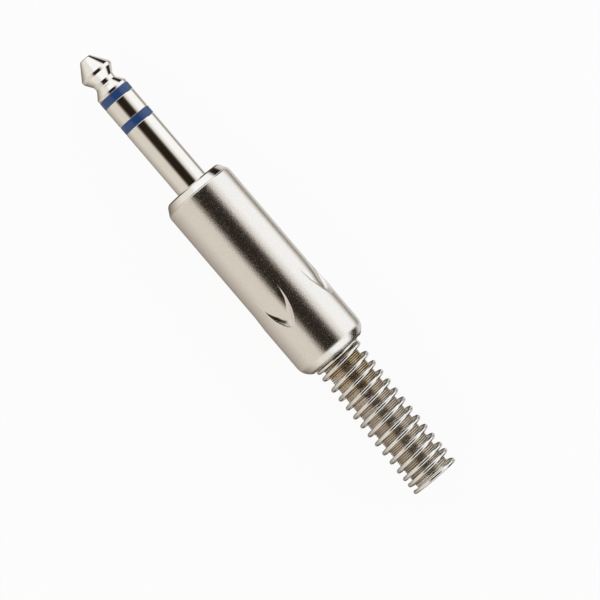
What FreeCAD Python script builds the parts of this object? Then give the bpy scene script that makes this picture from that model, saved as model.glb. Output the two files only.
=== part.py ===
import FreeCAD, Part

import math
import os

import Sketcher

# Stereo jack plug of 6.35 mm, with a screw-on metal barrel and two springs as its strain relief.
# Millimetres and degrees. X runs along the plug's axis towards the tip, and Z is up. The origin is on
# the axis in the front face of the flange, which comes to rest against a socket.

Vector = FreeCAD.Vector
doc = FreeCAD.newDocument("StereoJackPlug")
sheet = doc.addObject("Spreadsheet::Sheet", "Sizes")


# Driving dimensions

DIMENSIONS = {
    # Contacts and rings of the finger, from the flange forwards
    "finger_diameter": 6.35,
    "sleeve_length": 14.38,
    "ring_washer_length": 1.54,
    "ring_length": 4.17,
    "tip_washer_length": 1.49,
    "contact_edge": 0.1,
    # Head of the tip contact, from the washer forwards; drops are below the finger's own radius
    "land_length": 0.62,
    "neck_rise_length": 1.08,
    "neck_rear_drop": 0.795,
    "neck_length": 1.32,
    "neck_rounding": 70.0,
    "neck_front_drop": 0.885,
    "neck_fall_length": 1.06,
    "crest_rear_drop": 0.175,
    "crest_length": 0.98,
    "crest_rounding": 68.0,
    "crest_front_drop": 0.085,
    "cone_length": 2.57,
    "nose_edge_radius": 1.31,
    "nose_length": 0.27,
    "nose_rounding": 64.0,
    "nose_flat_radius": 0.9,
    # Rod, tubes and insulation nested inside the finger
    "rod_diameter": 1.8,
    "slip_gap": 0.02,
    "tip_tube_wall": 0.4,
    "ring_tube_wall": 0.5,
    "ring_insulation_wall": 0.4,
    # Sleeve body behind the finger
    "flange_thickness": 1.56,
    "flange_setback": 0.215,
    "flange_cone_length": 1.06,
    "flange_cone_rise": 0.61,
    "flange_rounding_width": 0.98,
    "flange_rounding": 60.0,
    "thread_step": 0.15,
    "thread_length": 6.0,
    "thread_relief_width": 0.8,
    "thread_relief_depth": 0.5,
    "thread_lead_in": 0.4,
    "boss_wall": 0.72,
    "staked_rim": 0.45,
    "staked_length": 0.4,
    "staked_gap": 0.05,
    # Terminals and the washers between them
    "sheet_thickness": 0.5,
    "bend_radius": 0.4,
    "lug_width": 2.6,
    "lug_corner": 1.2,
    "solder_hole_diameter": 1.4,
    "terminal_washer_length": 0.8,
    "terminal_washer_gap": 0.15,
    "peen_length": 0.4,
    "peen_rim": 0.35,
    "ring_lug_length": 9.0,
    "tip_lug_radius": 3.1,
    "tip_lug_length": 9.5,
    "ground_strip_width": 3.2,
    "clamp_to_spring": 5.23,
    "clamp_gap": 0.75,
    "clamp_length": 5.5,
    "clamp_ear_angle": 105.0,
    # Barrel, from its front face backwards
    "barrel_length": 38.08,
    "barrel_front_wall": 1.205,
    "barrel_easing_length": 0.95,
    "barrel_easing_depth": 0.19,
    "thread_clearance": 0.05,
    "thread_runout": 0.6,
    "front_length": 23.5,
    "step_length": 3.2,
    "barrel_rear_swell": 0.155,
    "rear_rounding_length": 2.69,
    "rear_rim": 0.29,
    "rear_wall": 2.2,
    "exit_gap": 0.325,
    # Scoops pressed into the barrel's shoulder
    "scoop_count": 4,
    "scoop_turn": 23.5,
    "scoop_apex_behind_step": 2.8,
    "scoop_arch_forward": 8.2,
    "scoop_arch_aside": 5.97,
    "scoop_wall_slope": 30.0,
    "scoop_wall_thickness": 0.67,
    "scoop_start_before_step": 0.5,
    "scoop_start_rise": 0.03,
    "scoop_deepest_behind_step": 0.6,
    "scoop_ramp_length": 2.2,
    # Liner
    "liner_wall": 0.4,
    "liner_clearance": 0.15,
    "liner_end_gap": 0.1,
    # Outer spring: a wide dead turn inside the barrel, then open turns that close up towards the end
    "spring_wire": 0.76,
    "flare_gap": 0.2,
    "spring_seat_gap": 0.03,
    "spring_exit_step": 0.26,
    "spring_exit_pitch": 0.08,
    "dead_turns": 0.7,
    "run_in_turns": 0.15,
    "exit_turns": 0.85,
    "spring_first_pitch": 1.55,
    "spring_second_pitch": 3.02,
    "spring_pitch": 2.07,
    "spring_closing_pitch": 1.4,
    "spring_tail_step": 1.55,
    "spring_front_tilt": 1.8,
    "spring_tilt_length": 16.0,
    # Inner spring: close-wound, with a collar at the front that lies on the outer spring's dead turn
    "cable_passage_diameter": 6.54,
    "inner_wire": 0.33,
    "inner_spring_gap": 0.415,
    "inner_spring_recess": 0.9,
    # Both springs sit a little off centre in the exit and lean away from the axis
    "spring_shift": 0.12,
    "spring_lean_side": 1.5,
    "spring_lean_down": 0.5,
}

for row, (alias, number) in enumerate(DIMENSIONS.items(), start=1):
    sheet.set(f"A{row}", alias.replace("_", " "))
    sheet.set(f"B{row}", str(number))
    sheet.setAlias(f"B{row}", alias)
doc.recompute()


class Size:
    """A size read from the sheet, or worked out from others: its number now and its formula."""

    def __init__(self, number, formula):
        self.number = number
        self.formula = formula

    def __add__(self, other):
        return Size(self.number + as_size(other).number, f"({self.formula} + {as_size(other).formula})")

    def __sub__(self, other):
        return Size(self.number - as_size(other).number, f"({self.formula} - {as_size(other).formula})")

    def __mul__(self, other):
        return Size(self.number * as_size(other).number, f"({self.formula} * {as_size(other).formula})")

    def __truediv__(self, other):
        return Size(self.number / as_size(other).number, f"({self.formula} / {as_size(other).formula})")

    def __neg__(self):
        return Size(-self.number, f"(-1 * {self.formula})")


def as_size(value):
    return value if isinstance(value, Size) else Size(float(value), repr(float(value)))


def size(alias):
    return Size(float(sheet.get(alias)), f"Sizes.{alias}")


def sine(angle):
    return Size(math.sin(math.radians(angle.number)), f"sin({angle.formula} * 1 deg)")


def cosine(angle):
    return Size(math.cos(math.radians(angle.number)), f"cos({angle.formula} * 1 deg)")


def diagonal(across, up):
    """The length of the straight line that goes this far across and this far up."""
    squares = across * across + up * up
    return Size(math.sqrt(squares.number), f"sqrt({squares.formula})")


def bind(item, name, value):
    """Ties one property of an object to a size, so that it follows the sheet."""
    item.setExpression(name, as_size(value).formula)


# Places along the axis

finger_radius = size("finger_diameter") / 2
ring_washer_x = size("sleeve_length") + size("ring_washer_length")
ring_x = ring_washer_x + size("ring_length")
tip_washer_x = ring_x + size("tip_washer_length")
flange_rear_x = -size("flange_thickness")
spigot_rear_x = flange_rear_x - size("thread_length")
boss_rear_x = spigot_rear_x - size("sheet_thickness")
ground_washer_x = boss_rear_x - size("staked_length")
ring_terminal_x = ground_washer_x - size("terminal_washer_length")
ring_peen_x = ring_terminal_x - size("sheet_thickness")
terminal_washer_x = ring_peen_x - size("peen_length")
tip_terminal_x = terminal_washer_x - size("terminal_washer_length")
tip_peen_x = tip_terminal_x - size("sheet_thickness")
thread_end_x = spigot_rear_x - size("thread_runout")
step_start_x = flange_rear_x - size("front_length")
step_end_x = step_start_x - size("step_length")
barrel_rear_x = flange_rear_x - size("barrel_length")
rear_wall_x = barrel_rear_x + size("rear_wall")
dead_turn_x = rear_wall_x + size("spring_seat_gap") + size("spring_wire") / 2
collar_x = dead_turn_x + size("spring_wire") / 2 + size("spring_seat_gap")
collar_front_x = collar_x + size("inner_wire")
liner_rear_x = collar_front_x + size("spring_seat_gap")
clamp_front_x = collar_front_x + size("clamp_to_spring") + size("clamp_length")

# Radii, from the axis outwards

rod_radius = size("rod_diameter") / 2
tip_tube_bore = rod_radius + size("slip_gap")
tip_tube_radius = tip_tube_bore + size("tip_tube_wall")
ring_tube_bore = tip_tube_radius + size("slip_gap")
ring_tube_radius = ring_tube_bore + size("ring_tube_wall")
ring_insulation_bore = ring_tube_radius + size("slip_gap")
ring_insulation_radius = ring_insulation_bore + size("ring_insulation_wall")
sleeve_bore = ring_insulation_radius + size("slip_gap")
boss_radius = sleeve_bore + size("boss_wall")
staked_radius = boss_radius + size("staked_rim")
strip_radius = staked_radius + size("staked_gap") + size("bend_radius")
clamp_radius = strip_radius + size("sheet_thickness")
liner_bore = clamp_radius + size("clamp_gap")
liner_radius = liner_bore + size("liner_wall")
barrel_bore = liner_radius + size("liner_clearance")
thread_bore = barrel_bore - size("thread_step")
thread_radius = thread_bore - size("thread_clearance")
barrel_front_radius = barrel_bore + size("barrel_front_wall")
barrel_rear_radius = barrel_front_radius + size("barrel_rear_swell")
flange_radius = barrel_front_radius - size("flange_setback")
inner_spring_radius = size("cable_passage_diameter") / 2 + size("inner_wire")
spring_radius = inner_spring_radius + size("inner_spring_gap") + size("spring_wire")
exit_radius = spring_radius + size("exit_gap")
flare_radius = barrel_bore - size("flare_gap")


# Sketches, and the pieces made from them

def arc_radius(start, end, turn):
    """The radius of an arc between two points that turns through this many degrees."""
    chord = diagonal(as_size(end[0]) - start[0], as_size(end[1]) - start[1])
    return chord / (sine(turn / 2) * 2)


def arc_between(start, end, radius, bulges_left):
    """An arc of under half a turn, with its centre on the left of the way unless it bulges left."""
    way = end - start
    height = math.sqrt(max(radius ** 2 - (way.Length / 2) ** 2, 0))
    to_centre = Vector(way.y, -way.x, 0) if bulges_left else Vector(-way.y, way.x, 0)
    centre = (start + end) / 2 + to_centre.normalize() * height
    angles = [math.atan2(place.y - centre.y, place.x - centre.x) for place in (start, end)]
    if bulges_left:
        angles.reverse()
    return Part.ArcOfCircle(Part.Circle(centre, Vector(0, 0, 1), radius), *angles)


def draw_outline(sketch, points):
    """Draws a closed outline from points (across, up).

    Where an arc leads on, the point has a third value: the degrees that it turns to the left, or to
    the right below zero.
    """
    spots = [Vector(as_size(point[0]).number, as_size(point[1]).number, 0) for point in points]
    ends = []
    for index, point in enumerate(points):
        following = (index + 1) % len(points)
        start, end = spots[index], spots[following]
        if len(point) == 2:
            ends.append((sketch.addGeometry(Part.LineSegment(start, end)), 1, 2))
            continue
        turn = as_size(point[2])
        turns_right = turn.number < 0
        radius = arc_radius(point, points[following], -turn if turns_right else turn)
        arc = sketch.addGeometry(arc_between(start, end, radius.number, turns_right))
        ends.append((arc, 2, 1) if turns_right else (arc, 1, 2))
        row = sketch.addConstraint(Sketcher.Constraint("Radius", arc, radius.number))
        bind(sketch, f"Constraints[{row}]", radius)
    for index, (geometry, start, end) in enumerate(ends):
        following, following_start, _ = ends[(index + 1) % len(ends)]
        sketch.addConstraint(Sketcher.Constraint("Coincident", geometry, end, following, following_start))
        fix_point(sketch, geometry, start, points[index])


def fix_point(sketch, geometry, end, point):
    """Holds one end of a line or arc, or a circle's centre, at its distances from the origin."""
    for direction, distance in (("DistanceX", as_size(point[0])), ("DistanceY", as_size(point[1]))):
        row = sketch.addConstraint(Sketcher.Constraint(direction, -1, 1, geometry, end, distance.number))
        bind(sketch, f"Constraints[{row}]", distance)


def new_body(label):
    body = doc.addObject("PartDesign::Body", label)
    body.Label = label
    return body


def plane_sketch(body, name, role, offset=0):
    """An empty sketch on one of the body's own planes, or this far in front of it."""
    sketch = body.newObject("Sketcher::SketchObject", name)
    plane = next(item for item in body.Origin.OriginFeatures if item.Role == role)
    sketch.AttachmentSupport = (plane, "")
    sketch.MapMode = "FlatFace"
    bind(sketch, "AttachmentOffset.Base.z", offset)
    return sketch


def circle_sketch(body, name, role, across, up, radius, offset=0):
    sketch = plane_sketch(body, name, role, offset)
    centre = Vector(as_size(across).number, as_size(up).number, 0)
    circle = sketch.addGeometry(Part.Circle(centre, Vector(0, 0, 1), as_size(radius).number))
    fix_point(sketch, circle, 3, (across, up))
    row = sketch.addConstraint(Sketcher.Constraint("Radius", circle, as_size(radius).number))
    bind(sketch, f"Constraints[{row}]", radius)
    return sketch


def add_pad(body, sketch, length, both_ways=False):
    """Gives a sketch its thickness, backwards from its plane or half to each side."""
    pad = body.newObject("PartDesign::Pad", f"{sketch.Name}_pad")
    pad.Profile = (sketch, [""])
    pad.Midplane = both_ways
    pad.Reversed = not both_ways
    bind(pad, "Length", length)


def add_pocket(body, sketch, length):
    pocket = body.newObject("PartDesign::Pocket", f"{sketch.Name}_pocket")
    pocket.Profile = (sketch, [""])
    bind(pocket, "Length", length)


def turned(label, points):
    """A piece turned on the plug's axis, from half of its section."""
    body = new_body(label)
    sketch = plane_sketch(body, f"{label}_section", "XY_Plane")
    draw_outline(sketch, points)
    revolution = body.newObject("PartDesign::Revolution", f"{label}_turning")
    revolution.Profile = (sketch, [""])
    revolution.ReferenceAxis = (sketch, ["H_Axis"])
    revolution.Angle = 360
    return body


def tube(label, front_x, rear_x, bore, radius):
    """A plain tube or washer about the axis."""
    return turned(label, [(front_x, bore), (front_x, radius), (rear_x, radius), (rear_x, bore)])


# Tip contact: a turned head on a long rod, whose peened rear end holds the whole stack together

def make_tip_contact():
    edge = size("contact_edge")
    land_x = tip_washer_x + size("land_length")
    neck_rear_x = land_x + size("neck_rise_length")
    neck_front_x = neck_rear_x + size("neck_length")
    crest_rear_x = neck_front_x + size("neck_fall_length")
    crest_front_x = crest_rear_x + size("crest_length")
    cone_front_x = crest_front_x + size("cone_length")
    nose_x = cone_front_x + size("nose_length")
    peen_radius = rod_radius + size("peen_rim")
    peen_rear_x = tip_peen_x - size("peen_length")
    return turned("tip_contact", [
        (nose_x, 0),
        (nose_x, size("nose_flat_radius"), size("nose_rounding")),
        (cone_front_x, size("nose_edge_radius")),
        (crest_front_x, finger_radius - size("crest_front_drop"), size("crest_rounding")),
        (crest_rear_x, finger_radius - size("crest_rear_drop")),
        (neck_front_x, finger_radius - size("neck_front_drop"), -size("neck_rounding")),
        (neck_rear_x, finger_radius - size("neck_rear_drop")),
        (land_x, finger_radius),
        (tip_washer_x + edge, finger_radius),
        (tip_washer_x, finger_radius - edge),
        (tip_washer_x, rod_radius),
        (tip_peen_x, rod_radius),
        (tip_peen_x, peen_radius),
        (tip_peen_x - size("peen_length") / 2, peen_radius),
        (peen_rear_x, rod_radius),
        (peen_rear_x, 0),
    ])


# Insulation of the tip contact: the coloured washer in the finger, and the tube along the rod

def make_tip_insulating_washer():
    return tube("tip_insulating_washer", tip_washer_x, ring_x, tip_tube_bore, finger_radius)


def make_tip_insulating_tube():
    return tube("tip_insulating_tube", ring_x, tip_terminal_x, tip_tube_bore, tip_tube_radius)


# Ring contact: a short ring on a long tube, peened over behind its terminal

def make_ring_contact():
    edge = size("contact_edge")
    return turned("ring_contact", [
        (ring_x, ring_tube_bore),
        (ring_x, finger_radius - edge),
        (ring_x - edge, finger_radius),
        (ring_washer_x + edge, finger_radius),
        (ring_washer_x, finger_radius - edge),
        (ring_washer_x, ring_tube_radius),
        (ring_peen_x, ring_tube_radius),
        (ring_peen_x, ring_tube_radius + size("peen_rim")),
        (terminal_washer_x, ring_tube_radius),
        (terminal_washer_x, ring_tube_bore),
    ])


# Insulation of the ring contact, made as the tip's

def make_ring_insulating_washer():
    front_x = ring_washer_x
    rear_x = size("sleeve_length")
    return tube("ring_insulating_washer", front_x, rear_x, ring_insulation_bore, finger_radius)


def make_ring_insulating_tube():
    front_x = size("sleeve_length")
    bore = ring_insulation_bore
    return tube("ring_insulating_tube", front_x, ring_terminal_x, bore, ring_insulation_radius)


# Sleeve body: finger, flange, threaded spigot and staked boss, turned in one piece

def make_sleeve_body():
    edge = size("contact_edge")
    lead_in = size("thread_lead_in")
    cone_radius = flange_radius - size("flange_cone_rise")
    relief_radius = thread_radius - size("thread_relief_depth")
    relief_rear_x = flange_rear_x - size("thread_relief_width")
    return turned("sleeve_body", [
        (size("sleeve_length"), sleeve_bore),
        (size("sleeve_length"), finger_radius - edge),
        (size("sleeve_length") - edge, finger_radius),
        (0, finger_radius),
        (0, cone_radius - size("flange_rounding_width"), size("flange_rounding")),
        (flange_rear_x + size("flange_cone_length"), cone_radius),
        (flange_rear_x, flange_radius),
        (flange_rear_x, relief_radius),
        (relief_rear_x, relief_radius),
        (relief_rear_x, thread_radius),
        (spigot_rear_x + lead_in, thread_radius),
        (spigot_rear_x, thread_radius - lead_in),
        (spigot_rear_x, boss_radius),
        (boss_rear_x, boss_radius),
        (boss_rear_x, staked_radius),
        (boss_rear_x - size("staked_length") / 2, staked_radius),
        (ground_washer_x, boss_radius),
        (ground_washer_x, sleeve_bore),
    ])


# Terminals: stamped sheet, a round plate across the axis folded into a strip along it

def add_folded_strip(body, plate_x, radius, length, width):
    """The strip: out across the plate, round the bend, then back along the plug at this radius."""
    outside = radius + size("sheet_thickness")
    inner_bend = size("bend_radius")
    outer_bend = inner_bend + size("sheet_thickness")
    plate_rear_x = plate_x - size("sheet_thickness")
    sketch = plane_sketch(body, f"{body.Name}_strip", "XY_Plane")
    draw_outline(sketch, [
        (plate_x, 0),
        (plate_x, outside - outer_bend, 90),
        (plate_x - outer_bend, outside),
        (plate_x - length, outside),
        (plate_x - length, radius),
        (plate_rear_x - inner_bend, radius, -90),
        (plate_rear_x, radius - inner_bend),
        (plate_rear_x, 0),
    ])
    add_pad(body, sketch, width, both_ways=True)


def add_plate(body, plate_x, radius):
    plate = circle_sketch(body, f"{body.Name}_plate", "YZ_Plane", 0, 0, radius, plate_x)
    add_pad(body, plate, size("sheet_thickness"))


def add_plate_hole(body, plate_x, radius):
    hole = circle_sketch(body, f"{body.Name}_hole", "YZ_Plane", 0, 0, radius, plate_x)
    add_pocket(body, hole, size("sheet_thickness"))


def round_lug_end(body, end_x):
    """Rounds the two corners at the free end of a lug."""
    doc.recompute()
    edges = []
    for number, edge in enumerate(body.Shape.Edges, start=1):
        ends = [vertex.Point for vertex in edge.Vertexes]
        at_end = all(abs(point.x - end_x.number) < 1e-6 for point in ends)
        if at_end and len(ends) == 2 and abs(ends[0].z - ends[1].z) < 1e-6:
            edges.append(f"Edge{number}")
    plain = body.Tip
    fillet = body.newObject("PartDesign::Fillet", f"{body.Name}_corners")
    fillet.Base = (plain, edges)
    bind(fillet, "Radius", size("lug_corner"))


def make_lug_terminal(label, plate_x, bore, radius, length, turn):
    """A terminal with one solder lug, its lug turned about the axis to this side."""
    body = new_body(label)
    add_plate(body, plate_x, radius - size("bend_radius"))
    add_folded_strip(body, plate_x, radius, length, size("lug_width"))
    add_plate_hole(body, plate_x, bore)
    round_lug_end(body, plate_x - length)
    hole_x = plate_x - length + size("lug_width") / 2
    hole_radius = size("solder_hole_diameter") / 2
    hole = circle_sketch(body, f"{label}_solder_hole", "XZ_Plane", hole_x, 0, hole_radius)
    add_pocket(body, hole, radius + size("sheet_thickness"))
    body.Placement = FreeCAD.Placement(Vector(), FreeCAD.Rotation(Vector(1, 0, 0), turn))
    return body


def make_ring_terminal():
    return make_lug_terminal(
        "ring_terminal", ring_terminal_x, ring_tube_radius, strip_radius, size("ring_lug_length"), 0
    )


def make_tip_terminal():
    return make_lug_terminal(
        "tip_terminal", tip_terminal_x, rod_radius, size("tip_lug_radius"), size("tip_lug_length"), 180
    )


def make_ground_terminal():
    """The long earth strip, staked under the boss, with the open trough that is closed on the cable."""
    body = new_body("ground_terminal")
    length = spigot_rear_x - clamp_front_x
    add_plate(body, spigot_rear_x, strip_radius - size("bend_radius") + size("sheet_thickness"))
    add_folded_strip(body, spigot_rear_x, strip_radius, length, size("ground_strip_width"))
    add_plate_hole(body, spigot_rear_x, boss_radius)
    angle = size("clamp_ear_angle")
    across = cosine(angle)
    up = sine(angle)
    trough = plane_sketch(body, "ground_terminal_trough", "YZ_Plane", clamp_front_x)
    draw_outline(trough, [
        (strip_radius * across, -(strip_radius * up), angle),
        (strip_radius, 0, angle),
        (strip_radius * across, strip_radius * up),
        (clamp_radius * across, clamp_radius * up, -angle),
        (clamp_radius, 0, -angle),
        (clamp_radius * across, -(clamp_radius * up)),
    ])
    add_pad(body, trough, size("clamp_length"))
    body.Placement = FreeCAD.Placement(Vector(), FreeCAD.Rotation(Vector(1, 0, 0), -90))
    return body


# Washers of hard fibre that keep the terminals apart

def make_ground_fibre_washer():
    radius = strip_radius - size("terminal_washer_gap")
    return tube("ground_fibre_washer", ground_washer_x, ring_terminal_x, sleeve_bore, radius)


def make_terminal_fibre_washer():
    radius = size("tip_lug_radius") - size("terminal_washer_gap")
    return tube("terminal_fibre_washer", terminal_washer_x, tip_terminal_x, ring_tube_bore, radius)


# Barrel: turned, with a thread bore in front and an exit for the springs behind

def revolved(name, sketch):
    revolution = doc.addObject("Part::Revolution", name)
    revolution.Source = sketch
    revolution.Axis = Vector(1, 0, 0)
    revolution.Angle = 360
    revolution.Solid = True
    return revolution


def smooth_turn(length, drop):
    """The degrees of an arc that meets a straight line smoothly and drops this far below it."""
    return Size(
        2 * math.degrees(math.atan2(drop.number, length.number)),
        f"(2 * atan({(drop / length).formula}) / 1 deg)",
    )


def make_barrel_blank():
    easing_length = size("barrel_easing_length")
    easing_depth = size("barrel_easing_depth")
    easing = smooth_turn(easing_length, easing_depth)
    rear_face_radius = exit_radius + size("rear_rim")
    rounding_length = size("rear_rounding_length")
    rounding = smooth_turn(rounding_length, barrel_rear_radius - rear_face_radius)
    sketch = doc.addObject("Sketcher::SketchObject", "barrel_section")
    draw_outline(sketch, [
        (flange_rear_x, thread_bore),
        (flange_rear_x, barrel_front_radius - easing_depth, easing),
        (flange_rear_x - easing_length, barrel_front_radius),
        (step_start_x, barrel_front_radius),
        (step_end_x, barrel_rear_radius),
        (barrel_rear_x + rounding_length, barrel_rear_radius, rounding),
        (barrel_rear_x, rear_face_radius),
        (barrel_rear_x, exit_radius),
        (rear_wall_x, exit_radius),
        (rear_wall_x, barrel_bore),
        (thread_end_x, barrel_bore),
        (thread_end_x, thread_bore),
    ])
    return revolved("barrel_blank", sketch)


# Scoops: pointed hollows pressed into the barrel's shoulder, evenly spaced round it

def make_scoop_ring():
    """All that the scoops may take away: a ring whose inner face is their floor, then their ramp."""
    floor_radius = barrel_bore + size("scoop_wall_thickness")
    outside = barrel_rear_radius * 2 - floor_radius
    start_x = step_start_x + size("scoop_start_before_step")
    deepest_x = step_end_x - size("scoop_deepest_behind_step")
    sketch = doc.addObject("Sketcher::SketchObject", "scoop_floor_section")
    draw_outline(sketch, [
        (start_x, outside),
        (start_x, barrel_front_radius + size("scoop_start_rise")),
        (deepest_x, floor_radius),
        (deepest_x - size("scoop_ramp_length") * 2, outside),
    ])
    return revolved("scoop_ring", sketch)


def make_scoop_wedge(number):
    """A pointed arch with sloping walls: what two wide cones, one set off to each side, share."""
    turn = size("scoop_turn") + as_size(360) / size("scoop_count") * number
    forward = size("scoop_arch_forward")
    arch_radius = diagonal(forward, size("scoop_arch_aside"))
    run_per_rise = cosine(size("scoop_wall_slope")) / sine(size("scoop_wall_slope"))
    rise = barrel_rear_radius - barrel_bore
    cones = []
    for side in (-1, 1):
        cone = doc.addObject("Part::Cone", f"scoop_{number}_wall_{len(cones) + 1}")
        bind(cone, "Radius1", arch_radius - rise * run_per_rise)
        bind(cone, "Radius2", arch_radius + rise * run_per_rise)
        bind(cone, "Height", rise * 2)
        aside = size("scoop_arch_aside") * side
        cone.Placement.Rotation = FreeCAD.Rotation(Vector(1, 0, 0), -turn.number)
        bind(cone, "Placement.Base.x", step_end_x - size("scoop_apex_behind_step") + forward)
        bind(cone, "Placement.Base.y", aside * cosine(turn) + barrel_bore * sine(turn))
        bind(cone, "Placement.Base.z", barrel_bore * cosine(turn) - aside * sine(turn))
        cones.append(cone)
    wedge = doc.addObject("Part::Common", f"scoop_{number}")
    wedge.Base, wedge.Tool = cones
    return wedge


def make_barrel():
    wedges = doc.addObject("Part::MultiFuse", "scoop_wedges")
    wedges.Shapes = [make_scoop_wedge(number) for number in range(int(size("scoop_count").number))]
    scoops = doc.addObject("Part::Common", "scoops")
    scoops.Base = make_scoop_ring()
    scoops.Tool = wedges
    barrel = doc.addObject("Part::Cut", "barrel")
    barrel.Label = "barrel"
    barrel.Base = make_barrel_blank()
    barrel.Tool = scoops
    return barrel


# Liner: a thin tube that keeps the solder joints off the barrel and the springs in their seat

def make_insulating_liner():
    front_x = thread_end_x - size("liner_end_gap")
    return tube("insulating_liner", front_x, liner_rear_x, liner_bore, liner_radius)


# Outer spring: round wire, drawn as an eight-sided section carried along the coil

SECTIONS_PER_TURN = 16
WIRE_SIDES = 8
OPEN_TURNS = 10
CLOSING_TURNS = 1.5
TOP_OF_COIL = -90


def spring_axis_at(x):
    """The springs' centre at this place along the plug: shifted in the exit, leaning behind it."""
    beyond = max(rear_wall_x.number - x, 0)
    aside = beyond * math.tan(math.radians(size("spring_lean_side").number))
    down = beyond * math.tan(math.radians(size("spring_lean_down").number))
    return Vector(x, size("spring_shift").number + aside, -down)


def outer_spring_stages():
    """From the dead turn out: each stage's turns, its way backwards and the coil radius at its end."""
    half_wire = size("spring_wire") / 2
    coil = spring_radius - half_wire
    exit_x = barrel_rear_x - size("spring_exit_step")
    return [
        (size("dead_turns").number, as_size(0), flare_radius - half_wire),
        (size("run_in_turns").number, as_size(0), coil),
        (size("exit_turns").number, dead_turn_x - exit_x, coil),
        (0.5, size("spring_exit_pitch") / 2, coil),
        (1, size("spring_first_pitch"), coil),
        (0.5, size("spring_second_pitch") / 2, coil),
        (OPEN_TURNS, size("spring_pitch") * OPEN_TURNS, coil),
        (CLOSING_TURNS, size("spring_closing_pitch") * CLOSING_TURNS, coil),
        (0.5, size("spring_tail_step"), coil),
        (0.5, as_size(0), coil),
    ]


def outer_spring_rear_x():
    ways = [way for _, way, _ in outer_spring_stages()]
    return dead_turn_x - sum(ways[1:], ways[0]) - size("spring_wire") / 2


def coil_place(turn, x, radius):
    """A point of the wire's centre line, and the direction outwards from the spring's centre.

    The turns come out of the barrel slanted, and lie less so further back.
    """
    angle = math.radians(360 * turn + TOP_OF_COIL)
    outwards = Vector(0, math.sin(angle), math.cos(angle))
    inside = (rear_wall_x.number - x) / size("rear_wall").number
    behind = 1 - (barrel_rear_x.number - x) / size("spring_tilt_length").number
    slant = math.tan(math.radians(size("spring_front_tilt").number)) * max(min(inside, behind), 0)
    slanted = Vector(-outwards.y * radius * slant, 0, 0)
    return spring_axis_at(x) + outwards * radius + slanted, outwards


def coil_places():
    stages = outer_spring_stages()
    turn = -sum(turns for turns, _, _ in stages[:4]) - 0.5
    x = dead_turn_x.number
    radius = stages[0][2].number
    places = []
    for turns, way, end_radius in stages:
        steps = round(turns * SECTIONS_PER_TURN)
        for share in [step / steps for step in range(steps)]:
            here = radius + (end_radius.number - radius) * share
            places.append(coil_place(turn + turns * share, x - way.number * share, here))
        turn += turns
        x -= way.number
        radius = end_radius.number
    places.append(coil_place(turn, x, radius))
    return places


def wire_section(place, outwards, along):
    """One closed section of the wire, square to its way and flat-sided towards the spring's axis."""
    across = along.cross(outwards).normalize()
    corner = size("spring_wire").number / 2 / math.cos(math.pi / WIRE_SIDES)
    corners = []
    for side in range(WIRE_SIDES):
        angle = math.pi * (2 * side + 1) / WIRE_SIDES
        corners.append(place + outwards * (corner * math.cos(angle)) + across * (corner * math.sin(angle)))
    return Part.makePolygon(corners + corners[:1])


def make_outer_spring():
    places = coil_places()
    sections = []
    for index, (place, outwards) in enumerate(places):
        before = places[max(index - 1, 0)][0]
        after = places[min(index + 1, len(places) - 1)][0]
        sections.append(wire_section(place, outwards, (after - before).normalize()))
    spring = doc.addObject("Part::Feature", "outer_spring")
    spring.Label = "outer_spring"
    spring.Shape = Part.makeLoft(sections, True, True)
    return spring


# Inner spring: its fine turns touch, so it is drawn as a plain tube with its collar

def make_leaning_cylinder(name, front_x, rear_x, radius):
    """A cylinder along the springs' leaning axis, between two places along the plug."""
    cylinder = doc.addObject("Part::Cylinder", name)
    bind(cylinder, "Radius", radius)
    bind(cylinder, "Height", front_x - rear_x)
    bend = spring_axis_at(rear_wall_x.number)
    along = (spring_axis_at(rear_x.number) - bend).normalize()
    start = bend + along * ((front_x.number - bend.x) / along.x)
    cylinder.Placement = FreeCAD.Placement(start, FreeCAD.Rotation(Vector(0, 0, 1), along))
    return cylinder


def make_inner_spring():
    wire = size("inner_wire")
    front_x = collar_front_x
    rear_x = outer_spring_rear_x() + size("inner_spring_recess")
    collar = doc.addObject("Part::Cylinder", "inner_spring_collar")
    collar.Placement.Rotation = FreeCAD.Rotation(Vector(0, 1, 0), 90)
    bind(collar, "Radius", flare_radius)
    bind(collar, "Height", wire)
    bind(collar, "Placement.Base.x", collar_x)
    bind(collar, "Placement.Base.y", size("spring_shift"))
    outside = doc.addObject("Part::Fuse", "inner_spring_outside")
    outside.Base = make_leaning_cylinder("inner_spring_turns", front_x, rear_x, inner_spring_radius)
    outside.Tool = collar
    spring = doc.addObject("Part::Cut", "inner_spring")
    spring.Label = "inner_spring"
    spring.Base = outside
    spring.Tool = make_leaning_cylinder(
        "inner_spring_bore", front_x + wire, rear_x - wire, inner_spring_radius - wire
    )
    return spring


# The whole plug

sub_parts = [
    make_tip_contact(),
    make_tip_insulating_washer(),
    make_tip_insulating_tube(),
    make_ring_contact(),
    make_ring_insulating_washer(),
    make_ring_insulating_tube(),
    make_sleeve_body(),
    make_ground_terminal(),
    make_ground_fibre_washer(),
    make_ring_terminal(),
    make_terminal_fibre_washer(),
    make_tip_terminal(),
    make_barrel(),
    make_insulating_liner(),
    make_outer_spring(),
    make_inner_spring(),
]
doc.recompute()

failed = [item.Name for item in doc.Objects if {"Invalid", "Error"} & set(item.State)]
if failed:
    raise RuntimeError(f"these objects failed: {', '.join(failed)}")
for item in sub_parts:
    if item.Shape.isNull() or not item.Shape.isValid() or len(item.Shape.Solids) != 1:
        raise RuntimeError(f"{item.Label} is not one valid solid")

os.makedirs("parts", exist_ok=True)
for item in sub_parts:
    item.Shape.exportStep(f"parts/{item.Label}.step")
    print(f"{item.Label}: {item.Shape.Volume:.2f} mm3")
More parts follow.
